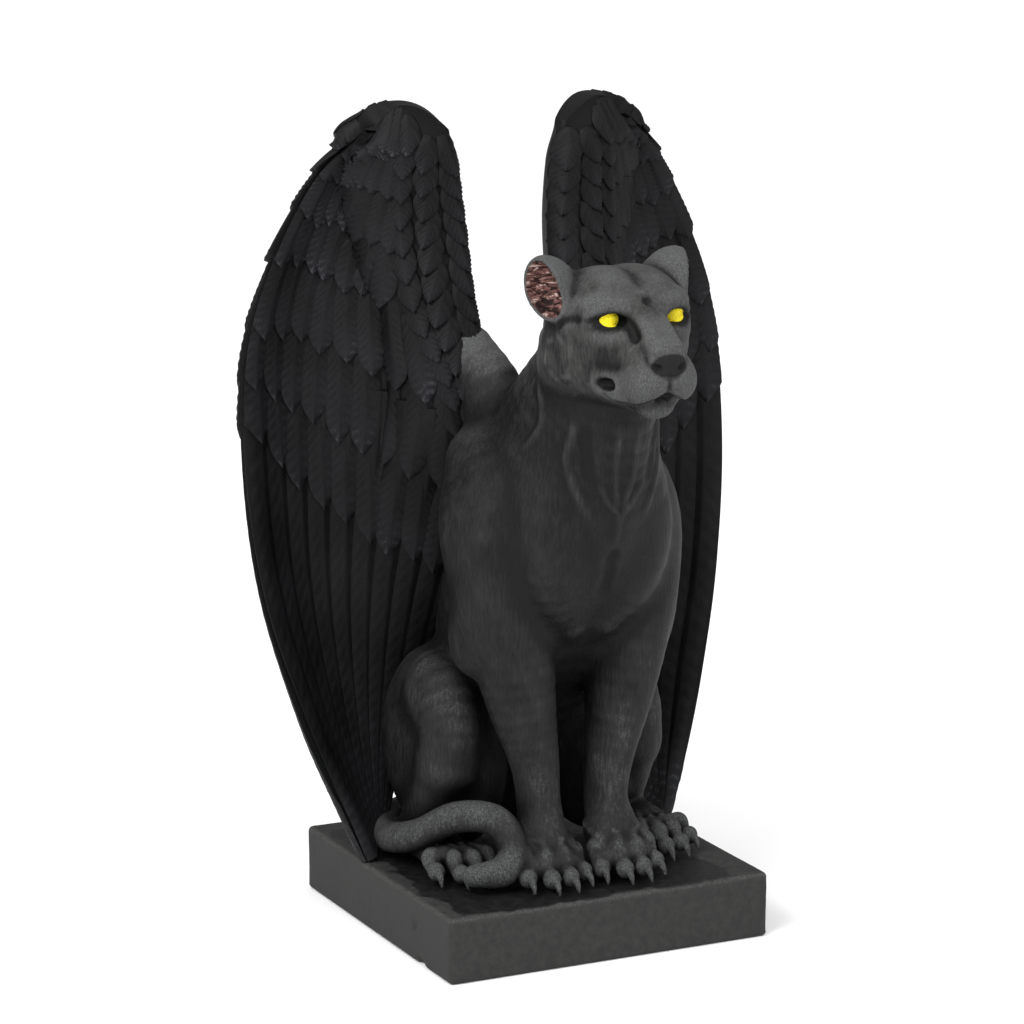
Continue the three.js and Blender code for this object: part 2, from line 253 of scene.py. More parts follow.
class Clay:
    """Clay on a grid: the distance in mm of each cell to the surface, less than zero inside"""

    def __init__(self, low, high, cell):
        self.low = np.array(low, float)
        self.cell = cell
        count = np.round((np.array(high) - self.low) / cell).astype(int) + 1
        self.field = np.full(count, 20.0, np.float32)

    def window(self, low, high):
        """The part of the grid between two corners: its slices, and where its cells are along each axis"""
        slices, axes = [], []
        for i in range(3):
            start = int(np.clip(np.floor((low[i] - self.low[i]) / self.cell), 0, self.field.shape[i] - 1))
            stop = int(np.clip(np.ceil((high[i] - self.low[i]) / self.cell) + 1, start + 1, self.field.shape[i]))
            shape = [1, 1, 1]
            shape[i] = stop - start
            slices.append(slice(start, stop))
            axes.append((self.low[i] + self.cell * np.arange(start, stop)).astype(np.float32).reshape(shape))
        return tuple(slices), axes

    def press(self, slices, other, blend, carve):
        """Join a form to the clay, or carve it out, with an eased joint as wide as the blend"""
        old = self.field[slices]
        if carve:
            other = -other
            near = np.maximum(blend - np.abs(old - other), 0) / blend
            self.field[slices] = np.maximum(old, other) + near * near * (blend / 4)
        else:
            near = np.maximum(blend - np.abs(old - other), 0) / blend
            self.field[slices] = np.minimum(old, other) - near * near * (blend / 4)

    def ball(self, centre, half, turn=(0, 0, 0), blend=2.0, carve=False, facing=None):
        """An egg of clay: its centre, half sizes, and turns about X, Y and Z in degrees. With a facing, the first
        half size lies along the facing's first direction and the last along its second."""
        axes = np.array(Euler([math.radians(t) for t in turn]).to_matrix())
        if facing:
            out = Vector(facing[0]).normalized()
            side = Vector(facing[1]).cross(out).normalized()
            axes = np.array([out, side, out.cross(side)]).T
        reach = np.abs(axes) @ np.array(half, float) + blend + 1.5
        slices, (x, y, z) = self.window(np.array(centre) - reach, np.array(centre) + reach)
        x, y, z = x - centre[0], y - centre[1], z - centre[2]
        once, twice = 0, 0
        for i in range(3):
            part = x * axes[0][i] + y * axes[1][i] + z * axes[2][i]
            once = once + (part / half[i]) ** 2
            twice = twice + (part / half[i] ** 2) ** 2
        once = np.sqrt(once)
        self.press(slices, once * (once - 1) / np.maximum(np.sqrt(twice), 1e-4), blend, carve)

    def limb(self, stations, blend=3.0, across=(1, 0, 0), steps=4, carve=False):
        """A round or flattened length of clay through stations of x, y, z, half width and half depth.
        The width lies along `across`."""
        rows = smoothed(stations, steps)
        lines, sizes = rows[:, :3], np.maximum(rows[:, 3:], 0.15)
        tangents = np.gradient(lines, axis=0)
        tangents /= np.linalg.norm(tangents, axis=1, keepdims=True)
        reach = sizes.max() + blend + 1.5
        whole, _ = self.window(lines.min(axis=0) - reach, lines.max(axis=0) + reach)
        start = [s.start for s in whole]
        form = np.full(self.field[whole].shape, 20.0, np.float32)
        across = np.array(across, float)
        for i in range(len(lines) - 1):
            a, b = lines[i], lines[i + 1]
            reach = sizes[i:i + 2].max() + blend + 1.5
            slices, (x, y, z) = self.window(np.minimum(a, b) - reach, np.maximum(a, b) + reach)
            run = b - a
            t = (x - a[0]) * run[0] + (y - a[1]) * run[1] + (z - a[2]) * run[2]
            t = np.clip(t / (run @ run), 0, 1)
            x, y, z = x - (a[0] + t * run[0]), y - (a[1] + t * run[1]), z - (a[2] + t * run[2])
            wide = across - tangents[i:i + 2] * (tangents[i:i + 2] @ across)[:, None]
            wide /= np.linalg.norm(wide, axis=1, keepdims=True)
            deep = np.cross(wide, tangents[i:i + 2])
            width = sizes[i, 0] + t * (sizes[i + 1, 0] - sizes[i, 0])
            depth = sizes[i, 1] + t * (sizes[i + 1, 1] - sizes[i, 1])
            once, twice = 0, 0
            for ends, size in ((wide, width), (deep, depth), (tangents[i:i + 2], np.minimum(width, depth))):
                u, v = ends[0], ends[1] - ends[0]
                part = (x * u[0] + y * u[1] + z * u[2]) + t * (x * v[0] + y * v[1] + z * v[2])
                once = once + (part / size) ** 2
                twice = twice + (part / (size * size)) ** 2
            once = np.sqrt(once)
            apart = once * (once - 1) / np.maximum(np.sqrt(twice), 1e-4)
            inner = tuple(slice(s.start - o, s.stop - o) for s, o in zip(slices, start))
            form[inner] = np.minimum(form[inner], apart)
        self.press(whole, form, blend, carve)

    def read(self, points, values=None):
        """The grid's value at each point, eased between the cells"""
        values = self.field if values is None else values
        places = (np.atleast_2d(points) - self.low) / self.cell
        places = np.clip(places, 0, np.array(self.field.shape) - 1.001)
        low = np.floor(places).astype(int)
        part = places - low
        total = 0
        for corner in np.ndindex(2, 2, 2):
            weight = np.prod(np.where(corner, part, 1 - part), axis=1)
            x, y, z = (low + corner).T
            total = total + weight * values[x, y, z]
        return total

    def slope(self, points):
        """The direction straight out of the clay at each point"""
        points = np.atleast_2d(points)
        step = np.eye(3) * self.cell
        rows = [self.read(points + step[i]) - self.read(points - step[i]) for i in range(3)]
        rows = np.stack(rows, axis=1)
        return rows / np.maximum(np.linalg.norm(rows, axis=1, keepdims=True), 1e-6)

    def onto(self, points):
        """The points moved straight onto the surface"""
        points = np.array(points, float)
        for _ in range(8):
            away = np.clip(self.read(points), -1.5, 1.5)
            points = points - self.slope(points) * away[:, None]
        return points

    def line(self, points, width, height, fade=0.25):
        """Draw a raised line over the surface, or a groove where the height is below zero.
        It fades out over this share of its length at each end."""
        track = self.onto(smoothed(points, 4))
        along = np.concatenate([[0], np.cumsum(np.linalg.norm(np.diff(track, axis=0), axis=1))])
        slices, (x, y, z) = self.window(track.min(axis=0) - width, track.max(axis=0) + width)
        nearest = np.full(self.field[slices].shape, 1e9, np.float32)
        where = np.zeros_like(nearest)
        for i in range(len(track) - 1):
            a, run = track[i], track[i + 1] - track[i]
            t = (x - a[0]) * run[0] + (y - a[1]) * run[1] + (z - a[2]) * run[2]
            t = np.clip(t / max(run @ run, 1e-9), 0, 1)
            away = (x - a[0] - t * run[0]) ** 2 + (y - a[1] - t * run[1]) ** 2 + (z - a[2] - t * run[2]) ** 2
            closer = away < nearest
            nearest = np.where(closer, away, nearest)
            where = np.where(closer, along[i] + t * (along[i + 1] - along[i]), where)
        ease = np.clip(np.minimum(where, along[-1] - where) / (fade * along[-1] + 1e-6), 0, 1)
        ease = ease * ease * (3 - 2 * ease)
        swell = np.maximum(1 - nearest / width ** 2, 0) ** 2
        self.field[slices] -= (height * swell * ease).astype(np.float32)

    def dab(self, centre, radius, height):
        """Raise a soft bump on the surface, or press a dent where the height is below zero"""
        centre = self.onto([centre])[0]
        slices, (x, y, z) = self.window(centre - radius, centre + radius)
        away = (x - centre[0]) ** 2 + (y - centre[1]) ** 2 + (z - centre[2]) ** 2
        self.field[slices] -= (height * np.maximum(1 - away / radius ** 2, 0) ** 2).astype(np.float32)

    def mirrored(self):
        """The clay with its other half, where this half ends at x = 0"""
        whole = Clay(
            (-(self.low[0] + self.cell * (self.field.shape[0] - 1)), *self.low[1:]),
            self.low + self.cell * (np.array(self.field.shape) - 1), self.cell,
        )
        whole.field = np.concatenate([self.field[:0:-1], self.field], axis=0)
        return whole


def model_trunk(clay):
    """Rump, loin, ribs and breast, with the neck rising forward to the skull"""
    clay.limb([
        [0, 19, 34, 22, 15], [0, 15, 52, 21, 18], [0, 5, 74, 23, 22], [0, -8, 95, 25, 26],
        [0, -17, 112, 25, 28], [0, -25, 128, 18.5, 25], [0, -34, 143, 14, 20], [0, -42, 156, 13, 14],
    ], blend=1)
    clay.limb([
        [6, -31, 124, 6, 7], [10.5, -32, 111, 10, 10.5], [10, -29.5, 97, 9.5, 10.5], [5, -26, 86, 6, 8],
    ], blend=3)


def model_foreleg(clay):
    """Shoulder blade, upper arm, forearm, wrist and paw"""
    clay.limb([
        [17, -6, 122, 9, 12], [20, -14, 108, 11, 16], [19, -18, 92, 11.2, 14],
        [16, -20, 76, 10.2, 12], [13.5, -21, 61, 8.2, 9.6], [10.6, -22, 47, 6, 7.2],
        [9.4, -22, 36, 5.4, 6.4], [9.8, -25, 28, 6.6, 6],
    ], blend=4)
    clay.ball([23, -15, 82], [6, 10, 13], [18, -8, 0], blend=4)
    clay.limb([[9.7, -24, 27, 6.6, 5.4], [10.2, -31, 22.6, 8.2, 4.4]], blend=2.5)


def model_hind_leg(clay):
    """Haunch, thigh, knee, shin, hock and the long foot flat on the plinth"""
    clay.ball([20, 11, 44], [14, 20, 26], [-14, 0, -8], blend=4)
    clay.limb([
        [21, 14, 57, 9, 12], [24, 4, 60, 9.5, 11], [25.5, -4, 53, 8, 9], [26, -4, 44, 7.5, 8],
    ], blend=3)
    clay.limb([[26, -4, 45, 7.5, 8], [27, 2, 33, 6.5, 7], [28, 8, 24, 6, 6.5]], blend=2)
    clay.limb([[28, 12, 22, 6, 5.2], [28.6, -2, 22, 6.2, 4.8], [28.6, -13, 21.4, 7, 3.8]], blend=2)


def model_toes(clay, foot_x, root_y, tip_y, radius, turnout, arch):
    """Four bony toes in an arc, each with two knuckles and a claw that comes down to the plinth"""
    for i in range(4):
        place = i - 1.5
        x = foot_x + place * radius * 1.95
        back = 1.5 * place * place + turnout * place
        root = [foot_x + place * radius * 1.3, root_y, GROUND + arch + 1.6]
        knuckle = [x, tip_y + back + 5.2, GROUND + arch + 0.6]
        dip = [x + place * 0.2, tip_y + back + 2.6, GROUND + arch * 0.66]
        end = [x + place * 0.4, tip_y + back + 0.6, GROUND + 3.6]
        clay.limb([
            [*root, radius * 0.8, radius * 0.8], [*knuckle, radius * 0.98, radius * 1.05],
            [*dip, radius * 0.74, radius * 0.86], [*end, radius * 0.96, radius * 1.05],
        ], blend=0.9, steps=5)
        clay.ball([knuckle[0], knuckle[1] - 0.3, knuckle[2] + 0.7], [radius * 0.75] * 3, blend=1.2)
        clay.limb([
            [end[0], end[1] - 0.5, end[2] + 0.6, 1.0, 1.1],
            [end[0] + place * 0.2, end[1] - radius - 0.9, end[2] - 0.6, 0.85, 1.0],
            [end[0] + place * 0.3, end[1] - radius - 2.3, GROUND + 0.7, 0.3, 0.4],
        ], blend=0.4, steps=5)
        clay.line([
            [foot_x + place * radius * 0.8, root_y + 7, GROUND + arch + 5], root, knuckle,
        ], 1.3, 0.7, fade=0.2)


def model_head(clay):
    """Skull, muzzle, jaw and cheeks, then the brows, eyes, nose and mouth"""
    clay.ball([0, -45, 161.5], [15, 17, 13.0], [-8, 0, 0], blend=4)
    clay.ball([5.8, -44.5, 161.7], [10.2, 16, 12.4], [-8, 0, 0], blend=4)
    clay.ball([8.6, -48, 154.5], [7.2, 11, 9.2], [0, 0, -12], blend=4)
    clay.ball([10.2, -40.5, 150.8], [6.6, 10, 7.2], [0, 0, -8], blend=5)
    clay.limb([[0, -54, 157.0, 10.4, 9.5], [0, -60.5, 155.0, 9.0, 8.2], [0, -66.0, 153, 7.6, 6.8]], blend=3)
    clay.limb([[0, -46, 148.2, 12.8, 5.4], [0, -55, 146.6, 10.4, 4.4], [0, -63.0, 144.8, 5.4, 3.2]], blend=2.5)
    # Whisker pads, the lip behind them, and the chin
    clay.ball([4.3, -67.0, 150.6], [4.7, 5.0, 4.7], [0, 0, 14], blend=3.0)
    clay.ball([2.4, -68.8, 151.0], [3.0, 3.4, 3.4], blend=1.5)
    clay.limb([[5.5, -65.6, 148.8, 3.4, 3.6], [8.4, -61.6, 148.6, 2.8, 3.5], [10.4, -56.6, 149.4, 2.0, 2.8]], blend=2.8)
    clay.ball([0, -65.2, 143.7], [4.4, 3.0, 2.7], [-14, 0, 0], blend=1.4)
    # A broad flat bridge, from between the brows to the nose
    clay.limb([[0, -56.0, 165.0, 4.2, 3.6], [0, -63.5, 161.9, 3.8, 3.2], [0, -70.0, 158.2, 3.5, 2.6]], blend=2)
    clay.limb([[2.4, -56.5, 164.8, 2.4, 3.4], [2.5, -63.5, 161.8, 2.0, 3.0], [2.5, -70.0, 158.1, 1.9, 2.4]], blend=1.2)
    # Brow, eye socket, cheekbone and eyeball
    clay.limb([
        [3.6, -58.6, 165.8, 2.0, 2.0], [7.6, -57.4, 167.5, 2.4, 2.0], [11.2, -54.8, 167.6, 2.3, 2.1],
        [13.8, -49.6, 165.8, 2, 2],
    ], blend=2.6)
    clay.ball([9.2, -60.0, 163.9], [5.0, 3.2, 2.3], [0, 10, -34], blend=1.8, carve=True)
    clay.limb([[6.2, -60.6, 159.6, 2, 2], [10.2, -57.0, 160.2, 2.3, 2.0], [14.0, -49.5, 162.2, 2, 2]], blend=2.4)
    clay.ball([8.3, -55.5, 164.2], [3.2, 3.1, 2.5], [0, 6, -24], blend=0.5)
    clay.line([[5.0, -59.8, 163.2], [7.4, -59.4, 166.2], [11.2, -56.6, 166.3], [13.4, -52.8, 163.8]], 1.2, 0.8)
    clay.line([[5.0, -59.8, 163.0], [7.8, -59.2, 161.8], [11.2, -56.6, 161.9], [13.4, -52.8, 163.4]], 1.2, 0.6)
    clay.line([[5.6, -60.2, 163.2], [4.6, -62.4, 161.2], [4.4, -65.4, 158.6]], 2.4, -0.8)
    clay.line([[12.6, -54.4, 164.0], [14.8, -50.0, 163.2], [15.6, -46.0, 161.0]], 1.6, -0.7)
    clay.dab([0, -58.5, 167.4], 2.0, -0.7)
    clay.line([[0, -57, 168.6], [0, -52, 173], [0, -46, 174.6]], 2.4, -0.35)
    # Nose leather, nostrils and the cleft under them
    clay.ball([0, -70.2, 155.9], [4.6, 2.7, 2.5], [-20, 0, 0], blend=0.6)
    clay.ball([3.3, -69.8, 155.5], [2.0, 2.3, 2.0], [0, 0, 20], blend=0.8)
    clay.ball([0, -71.2, 153.6], [2.2, 1.7, 1.8], blend=0.8)
    clay.ball([3.3, -72.4, 154.5], [1.5, 1.3, 0.6], [0, -32, 35], blend=0.5, carve=True)
    clay.line([[4.9, -69.2, 157.0], [4.7, -70.7, 154.6], [2.8, -71.8, 152.4], [0, -72.2, 151.6]], 0.9, -0.8, fade=0.1)
    clay.line([[0, -73.4, 153.0], [0, -72.8, 150.5], [0, -71.3, 147.6]], 0.9, -0.8, fade=0.1)
    # Mouth, from the front gap round under the whisker pad to its corner
    clay.ball([0, -70.6, 147.0], [1.9, 3.0, 1.1], blend=0.8, carve=True)
    clay.line([
        [0, -70.0, 146.2], [3, -70.0, 145.6], [6.0, -66.6, 145.1], [8.8, -62.0, 145.7], [10.5, -59.2, 147.6],
    ], 1.2, -1.5, fade=0.04)
    clay.ball([10.7, -60.3, 149.2], [2.0, 3.4, 1.5], [0, 0, -28], blend=1.2, carve=True)
    # Locks of fur round the cheek
    for turn in range(0, 330, 55):
        ring = []
        for step in (0, 22, 44):
            angle = math.radians(turn + step)
            radius = 4.0 + 0.04 * step
            ring.append([15.4, -46.6 - radius * math.cos(angle), 153.8 + radius * math.sin(angle)])
        clay.line(ring, 1.1, 0.45)


EAR_OUT = (0.87, -0.47, -0.11)
EAR_UP = (0.46, 0.30, 0.82)
EAR_CUP = (20.2, -44.2, 170.2)


def model_ear(clay):
    """A cup that flares from the skull and opens outward and forward"""
    wide = Vector(EAR_UP).cross(Vector(EAR_OUT))
    clay.limb([
        [9.5, -40.5, 164.5, 4.6, 5.2], [12.6, -41.6, 167.6, 5.2, 6.8], [16.2, -42.6, 169.8, 5.9, 8.2],
        [17.9, -43.1, 170.4, 5.8, 8.3],
    ], blend=1.8, across=wide)
    clay.ball(EAR_CUP, [6.0, 4.9, 7.5], facing=(EAR_OUT, EAR_UP), blend=0.7, carve=True)
    clay.ball([23.6, -45.8, 170.2], [4.6, 9, 12], facing=(EAR_OUT, EAR_UP), blend=0.9, carve=True)


def model_wing_root(clay):
    """The muscle behind the shoulder that carries the wing's inner rim"""
    clay.limb([[12, -6, 119, 9, 10], [10, 2, 135, 8, 9], [13, 10, 147, 6, 6]], blend=4)


def model_tail(clay):
    """From the rump under the right wing, up over the right hind foot, and hooked back beside it"""
    clay.limb([
        [-4, 31, 26, 6.8, 6.8], [-18, 31, 22.5, 4.6, 4.6], [-31, 23, 22, 4.6, 4.6], [-36.5, 9, 22.5, 4, 4],
        [-35, -6, 27, 4, 4], [-29, -15, 33, 4, 4], [-21.5, -21.5, 33, 4, 4], [-18.5, -26.5, 27, 4, 4],
        [-23, -30, 22.5, 3.9, 3.9], [-31, -29.5, 22, 2.8, 2.8],
    ], blend=1.0, across=(0, 0, 1), steps=6)


def draw_muscles(clay):
    """The cords of the neck, the Y on the breastbone, and the edges of the muscles, all in relief"""
    clay.line([[13.5, -31, 147], [14.6, -35.0, 137], [16.2, -32.5, 131], [17.3, -28.8, 127]], 1.7, 0.9)
    clay.line([[10.3, -45, 141], [11.2, -44.1, 134.6], [11.9, -42.3, 127.3], [9.2, -44.1, 118], [6, -44.6, 112]], 1.9, 1.0)
    clay.line([[8.2, -46, 138], [8.4, -46, 128], [7.0, -46.5, 121]], 2.4, -1.0)
    clay.line([[2.2, -51.8, 138], [2.4, -49.2, 126.3], [0.5, -46.2, 114.3]], 1.2, 0.9)
    clay.line([[6.5, -46.8, 124.1], [3.2, -46.9, 117.4], [0.3, -46.2, 113.8], [0, -44.5, 106]], 1.2, 0.9)
    clay.line([[0, -44.5, 106], [0, -42, 98], [0, -38, 90]], 2.2, -1.4)


def panther_clay(cell):
    half = Clay((0, -78, 15), (42, 42, 184), cell)
    model_trunk(half)
    model_foreleg(half)
    model_hind_leg(half)
    model_wing_root(half)
    model_head(half)
    model_ear(half)
    model_toes(half, 10.2, -29, -37.4, 2.4, 0, 7)
    model_toes(half, 28.6, -14, -24, 2.3, 1.4, 5.2)
    draw_muscles(half)
    clay = half.mirrored()
    model_tail(clay)
    clay.field = np.maximum(clay.field, GROUND - clay.low[2] - clay.cell * np.arange(clay.field.shape[2], dtype=np.float32))
    return clay


def blurred(values, reach):
    """The grid's values averaged over about this many cells around each"""
    for axis in range(3):
        for _ in range(2):
            padded = np.pad(values, [(reach + 1, reach) if i == axis else (0, 0) for i in range(3)], mode="edge")
            total = np.cumsum(padded, axis=axis, dtype=np.float64)
            ahead = np.take(total, range(2 * reach + 1, total.shape[axis]), axis=axis)
            behind = np.take(total, range(0, total.shape[axis] - 2 * reach - 1), axis=axis)
            values = ((ahead - behind) / (2 * reach + 1)).astype(np.float32)
    return values


def skin_mesh(name, clay, most):
    """The clay's surface as one closed mesh, with fewer and larger faces where it is smooth"""
    grid = openvdb.FloatGrid(background=20.0)
    grid.copyFromArray(clay.field)
    points, triangles, quads = grid.convertToPolygons(isovalue=0.0, adaptivity=0.0)
    points = points * clay.cell + clay.low
    faces = np.vstack([triangles, quads[:, [0, 1, 2]], quads[:, [0, 2, 3]]])
    mesh = bpy.data.meshes.new(name)
    mesh.from_pydata((points * MM).tolist(), [], faces[:, ::-1].tolist())
    mesh.update()
    piece = new_piece(name, mesh)
    thin = piece.modifiers.new("thin", "DECIMATE")
    thin.ratio = min(1.0, most / len(faces))
    shown = piece.evaluated_get(bpy.context.evaluated_depsgraph_get())
    done = bpy.data.meshes.new_from_object(shown)
    piece.modifiers.clear()
    piece.data = done
    done.name = name
    done.shade_smooth()

    return piece


def mark(mesh, name, values):
    """Store one value for each vertex, for the paint to read"""
    layer = mesh.attributes.new(name, "FLOAT", "POINT")
    layer.data.foreach_set("value", np.asarray(values, np.float32))


def vertex_places(mesh):
    places = np.empty(len(mesh.vertices) * 3, np.float32)
    mesh.vertices.foreach_get("co", places)
    return places.reshape(-1, 3).astype(float) / MM


def mark_relief(piece, clay):
    """How far each vertex stands out from the clay around it, closely, widely and very widely, and how far
    it faces up"""
    solid = np.clip(0.5 - clay.field / clay.cell, 0, 1)
    places = vertex_places(piece.data)
    for name, reach in (("fine_relief", 1.0), ("broad_relief", 3.5), ("shelter", 9.0)):
        mark(piece.data, name, 0.5 - clay.read(places, blurred(solid, round(reach / clay.cell))))
    mark(piece.data, "upward", clay.slope(places)[:, 2])


EYE = (8.7, -57.8, 164.2)


def near_place(paint, centre, half, ragged=0.0):
    """1 at a place on either side of the figure and 0 at the edge of an egg round it, with a ragged edge"""
    split = paint.add("ShaderNodeSeparateXYZ")
    paint.link(paint.stretched((1, 1, 1)), split.inputs[0])
    total = None
    for axis in range(3):
        place = paint.maths("ABSOLUTE", split.outputs[0]) if axis == 0 else split.outputs[axis]
        part = paint.maths("DIVIDE", paint.maths("SUBTRACT", place, centre[axis]), half[axis])
        part = paint.maths("MULTIPLY", part, part)
        total = part if total is None else paint.maths("ADD", total, part)
    away = paint.maths("SQRT", total)
    if ragged:
        wander = paint.noise((0.9, 0.9, 0.9), 4)
        away = paint.maths("ADD", away, paint.maths("MULTIPLY", paint.maths("SUBTRACT", wander, 0.5), ragged))
    return paint.maths("SUBTRACT", 1, away)


def panther_paint():
    """Charcoal black, brushed with grey where the forms stand out, with painted light on upturned faces and painted
    shade in sheltered places, creases and round the eyes. The eyes and ears are painted.
    """
    paint = Paint("panther_paint")
    fine = paint.attribute("fine_relief")
    broad = paint.attribute("broad_relief")
    height = paint.add("ShaderNodeSeparateXYZ")
    paint.link(paint.stretched((1, 1, 1)), height.inputs[0])
    on_head = paint.ramp(height.outputs[2], 136, 152)
    strokes = paint.noise((1.5, 1.5, 0.25), 5, 0.65)
    patches = paint.noise((0.16, 0.16, 0.10), 4)
    grain = paint.noise((3.0, 3.0, 1.6), 3, 0.7)
    raised = paint.maths("ADD", paint.maths("MULTIPLY", fine, 2.2), paint.maths("MULTIPLY", broad, 2.4))
    # Painted shade: less grey where the clay around is sheltered
    raised = paint.maths("ADD", raised, paint.maths("MULTIPLY", paint.attribute("shelter"), 0.8))
    # Painted light: more grey on faces that turn up
    raised = paint.maths("ADD", raised, paint.maths("MULTIPLY", paint.attribute("upward"), 0.20))
    raised = paint.maths("ADD", raised, paint.maths("MULTIPLY", paint.maths("SUBTRACT", strokes, 0.5), 1.1))
    raised = paint.maths("ADD", raised, paint.maths("MULTIPLY", paint.maths("SUBTRACT", patches, 0.5), 1.0))
    raised = paint.maths("ADD", raised, paint.maths("MULTIPLY", on_head, 0.15))
    # The brushed grey and its bright tops carry that painted light and shade along with the dry-brushing
    brushed = paint.ramp(raised, -0.10, 0.70)
    bright = paint.maths("MULTIPLY", paint.ramp(raised, 0.45, 1.0), paint.ramp(grain, 0.35, 0.65))
    colour = paint.blend(on_head, (0.020, 0.020, 0.020), (0.046, 0.046, 0.045))
    colour = paint.blend(brushed, (0.0045, 0.0045, 0.0048), colour)
    colour = paint.blend(paint.maths("MULTIPLY", bright, 0.7), colour, (0.105, 0.107, 0.110))
    # Painted shade in the fine creases
    colour = paint.blend(paint.ramp(fine, -0.02, -0.14), colour, (0.003, 0.003, 0.0034))
    # Painted shade round the eyes, drawn out to a streak at each corner, and yellow on the eyeballs
    shadow = near_place(paint, (9.0, -57.5, 163.8), (6.4, 7.0, 3.4), 0.5)
    colour = paint.blend(paint.ramp(shadow, 0.0, 0.45, 0, 0.95), colour, (0.0035, 0.0035, 0.0036))
    # Painted shade along the groove from the inner corner of the eye down beside the nose
    eye_streak_shade = near_place(paint, (4.8, -62.5, 160.8), (1.8, 4.6, 3.6), 0.6)
    colour = paint.blend(paint.ramp(eye_streak_shade, 0.0, 0.5, 0, 0.85), colour, (0.004, 0.004, 0.004))
    nose = near_place(paint, (0, -72.0, 154.9), (5.4, 4.0, 3.1), 0.15)
    colour = paint.blend(paint.ramp(nose, 0.0, 0.2, 0, 0.9), colour, (0.0055, 0.0055, 0.006))
    corner = near_place(paint, (10.4, -59.8, 149.2), (2.6, 3.4, 1.9), 0.2)
    colour = paint.blend(paint.ramp(corner, 0.0, 0.4, 0, 0.95), colour, (0.003, 0.003, 0.003))
    iris = near_place(paint, EYE, (2.7, 2.9, 1.9), 0.08)
    eye = paint.ramp(iris, 0.03, 0.12)
    yolk = paint.blend(paint.ramp(grain, 0.35, 0.65), (0.70, 0.56, 0.010), (0.86, 0.74, 0.03))
    colour = paint.blend(eye, colour, yolk)
    # Brown and pink wrinkles in the ears
    ear = paint.attribute("ear_inside")
    wrinkle = paint.noise((0.28, 0.28, 0.85), 5, 0.68, 0.8)
    flesh = paint.blend(paint.ramp(wrinkle, 0.44, 0.54), (0.012, 0.005, 0.0045), (0.16, 0.075, 0.065))
    flesh = paint.blend(paint.ramp(wrinkle, 0.55, 0.62), flesh, (0.50, 0.40, 0.36))
    colour = paint.blend(paint.ramp(ear, 0.35, 0.65), colour, flesh)
    roughness = paint.ramp(brushed, 0, 1, 0.52, 0.68)
    roughness = paint.maths("SUBTRACT", roughness, paint.maths("MULTIPLY", eye, 0.25))
    paint.bump(strokes, 0.30)
    paint.bump(grain, 0.10)
    paint.shader.inputs["Specular IOR Level"].default_value = 0.18
    return paint.finish(colour, roughness)


def mark_ears(mesh):
    """1 for each vertex in the cup of an ear, fading to 0 over its rim"""
    places = vertex_places(mesh)
    out = np.array(Vector(EAR_OUT).normalized())
    side = np.array(Vector(EAR_UP).cross(Vector(EAR_OUT)).normalized())
    up = np.cross(out, side)
    away = np.stack([np.abs(places[:, 0]), places[:, 1], places[:, 2]], axis=1) - np.array(EAR_CUP)
    size = np.stack([away @ out / 6.2, away @ side / 5.0, away @ up / 7.6], axis=1)
    mark(mesh, "ear_inside", np.clip((1.03 - np.linalg.norm(size, axis=1)) / 0.08, 0, 1))


clay = panther_clay(0.5)
panther = skin_mesh("panther_body", clay, 190000)
mark_relief(panther, clay)
mark_ears(panther.data)
panther.data.materials.append(panther_paint())
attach(panther, "root")
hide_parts("winged_panther")


# Wings
#
# Raised and cupped forward, each with its tip down on the plinth, cast with the body. A thick braid of small
# leaf feathers follows the inner rim, rows of coverts lie on the upper half, and long primaries run down to
# the tip. Painted black with a cold grey on the edges. The backs are plainer.
RUNGS = np.array([
    # Inner and outer end of each rung, from the tip on the plinth to the top, in mm
    [[38, 14, 19], [42.5, 7.5, 16]],
    [[28, 27, 33], [49, 10.5, 32]],
    [[17, 32, 56], [57, 15, 53]],
    [[10, 25, 82], [65, 21.3, 84]],
    [[6, 16, 108], [68, 25.3, 115]],
    [[5, 8, 131], [66.6, 28, 145]],
    [[10.5, 11.5, 153], [60, 27.5, 168]],
    [[12, 17, 178], [48.5, 25, 190]],
    [[15, 17.5, 201], [37.5, 20, 202]],
], float)
WING_THICKNESS = 3.0
WING_HOLLOW = 8.0
WING_CROWN = 7.0
ROLL_DEPTH = 5.5
PRIMARY_COUNT = 10


def eased(value, low, high):
    share = np.clip((value - low) / (high - low), 0, 1)
    return share * share * (3 - 2 * share)


def rim_place(u, end):
    """A point of the inner rim, end 0, or the outer rim, end 1, from the tip at u = 0 to the top at 1"""
    points = RUNGS[:, end]
    points = np.vstack([2 * points[0] - points[1], points, 2 * points[-1] - points[-2]])
    run = np.clip(u, 0, 1) * (len(RUNGS) - 1)
    i = np.minimum(run.astype(int), len(RUNGS) - 2)
    t = (run - i)[..., None]
    p0, p1, p2, p3 = points[i], points[i + 1], points[i + 2], points[i + 3]
    return p1 + 0.5 * t * (p2 - p0 + t * (2 * p0 - 5 * p1 + 4 * p2 - p3 + t * (3 * (p1 - p2) + p3 - p0)))


def wing_sheet(t, u):
    """The wing's middle sheet, with t from the inner rim to the outer"""
    inner, outer = rim_place(u, 0), rim_place(u, 1)
    place = inner + (outer - inner) * t[..., None]
    hollow = 27 / 4 * t * t * (1 - t)
    place[..., 1] += WING_HOLLOW * hollow * eased(u, 0, 0.3) * (1 - 0.7 * eased(u, 0.7, 1))
    place[..., 2] += WING_CROWN * 4 * t * (1 - t) * eased(u, 0.8, 1)
    return place


